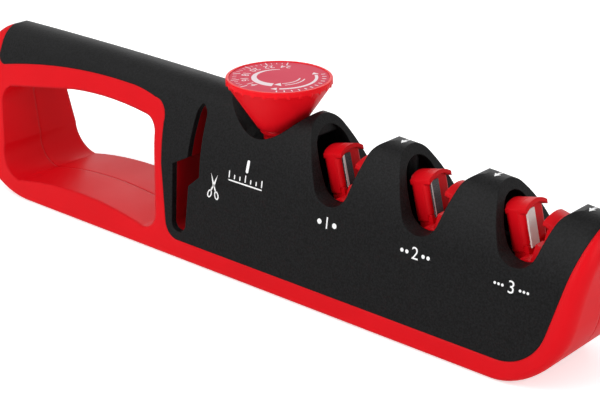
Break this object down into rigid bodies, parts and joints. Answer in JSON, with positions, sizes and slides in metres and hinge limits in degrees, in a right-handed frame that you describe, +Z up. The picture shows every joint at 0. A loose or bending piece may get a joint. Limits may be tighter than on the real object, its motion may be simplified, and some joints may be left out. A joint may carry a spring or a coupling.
{
  "type": "pull-through knife sharpener",
  "caption": "Hand-held sharpener with a D-shaped handle, V-shaped blade slots with tilting abrasive carriers, a scissors slot and a push-and-turn angle knob.",
  "frame": {"origin": "centre of the bounding box, on the table under the rubber pads", "axes": "+X towards the toe, +Y towards the rear side, +Z up"},
  "size_m": [0.2872, 0.0436, 0.0727],
  "materials": {
    "red_shell": "red ABS, satin",
    "red_inner": "red ABS",
    "black_cover": "fine textured black ABS",
    "black_inner": "black nylon",
    "ceramic": "white ceramic",
    "rubber": "soft rubber",
    "steel": "plated steel",
    "white_acetal": "natural acetal",
    "coarse_abrasive": "diamond coated",
    "fine_abrasive": "diamond coated"
  },
  "bodies": {
    "root": {"base_front_half": "red_shell", "base_rear_half": "red_shell", "top_cover": "black_cover", "scissor_sleeve": "red_inner", "scissor_rod": "ceramic", "foot_pads": "rubber", "carrier_frame": "black_inner", "knob_bearing": "black_inner", "cover_screws": "steel", "base_screws": "steel", "coarse_pivot_pin": "steel", "medium_pivot_pin": "steel", "fine_pivot_pin": "steel"},
    "cam": {"scroll_cam": "white_acetal", "knob_spring": "steel"},
    "knob": {"knob_body": "red_shell", "knob_dial": "red_shell", "knob_shaft": "steel", "knob_washer": "steel", "knob_screw": "steel"},
    "front_slider": {"front_slider": "white_acetal"},
    "rear_slider": {"rear_slider": "white_acetal"},
    "coarse_left": {"coarse_left_carrier": "red_shell", "coarse_left_bar": "coarse_abrasive"},
    "coarse_right": {"coarse_right_carrier": "red_shell", "coarse_right_bar": "coarse_abrasive"},
    "medium_left": {"medium_left_carrier": "red_shell", "medium_left_bar": "fine_abrasive"},
    "medium_right": {"medium_right_carrier": "red_shell", "medium_right_bar": "fine_abrasive"},
    "fine_left": {"fine_left_carrier": "red_shell", "fine_left_bar": "ceramic"},
    "fine_right": {"fine_right_carrier": "red_shell", "fine_right_bar": "ceramic"}
  },
  "joints": [
    {"name": "knob_turn", "type": "hinge", "parent": "root", "child": "cam", "pos_m": [0.0047, 0, 0.0323], "axis": [0, 0, 1], "range_deg": [0, 140]},
    {"name": "knob_press", "type": "slide", "parent": "cam", "child": "knob", "axis": [0, 0, -1], "range_m": [0, 0.0025], "stiffness_N_per_m": 600, "springref_m": -0.004, "deforming": ["knob_spring"]},
    {"name": "front_slider_slide", "type": "slide", "parent": "root", "child": "front_slider", "axis": [-1, 0, 0], "range_m": [0, 0.00175]},
    {"name": "rear_slider_slide", "type": "slide", "parent": "root", "child": "rear_slider", "axis": [1, 0, 0], "range_m": [0, 0.00175]},
    {"name": "coarse_left_tilt", "type": "hinge", "parent": "root", "child": "coarse_left", "pos_m": [0.0417, 0, 0.0352], "axis": [0, -1, 0], "range_deg": [0, 10.01]},
    {"name": "coarse_right_tilt", "type": "hinge", "parent": "root", "child": "coarse_right", "pos_m": [0.0417, 0, 0.0352], "axis": [0, 1, 0], "range_deg": [0, 10.01]},
    {"name": "medium_left_tilt", "type": "hinge", "parent": "root", "child": "medium_left", "pos_m": [0.0792, 0, 0.0352], "axis": [0, -1, 0], "range_deg": [0, 10.01]},
    {"name": "medium_right_tilt", "type": "hinge", "parent": "root", "child": "medium_right", "pos_m": [0.0792, 0, 0.0352], "axis": [0, 1, 0], "range_deg": [0, 10.01]},
    {"name": "fine_left_tilt", "type": "hinge", "parent": "root", "child": "fine_left", "pos_m": [0.1167, 0, 0.0352], "axis": [0, -1, 0], "range_deg": [0, 10.01]},
    {"name": "fine_right_tilt", "type": "hinge", "parent": "root", "child": "fine_right", "pos_m": [0.1167, 0, 0.0352], "axis": [0, 1, 0], "range_deg": [0, 10.01]}
  ],
  "couplings": [
    {"joint": "knob_turn", "follows": "front_slider_slide", "rad_per_m": 1400.3},
    {"joint": "rear_slider_slide", "follows": "front_slider_slide", "ratio": 1},
    {"joint": "coarse_left_tilt", "follows": "front_slider_slide", "rad_per_m": 100.02},
    {"joint": "coarse_right_tilt", "follows": "front_slider_slide", "rad_per_m": 100.02},
    {"joint": "medium_left_tilt", "follows": "front_slider_slide", "rad_per_m": 100.02},
    {"joint": "medium_right_tilt", "follows": "front_slider_slide", "rad_per_m": 100.02},
    {"joint": "fine_left_tilt", "follows": "front_slider_slide", "rad_per_m": 100.02},
    {"joint": "fine_right_tilt", "follows": "front_slider_slide", "rad_per_m": 100.02}
  ]
}
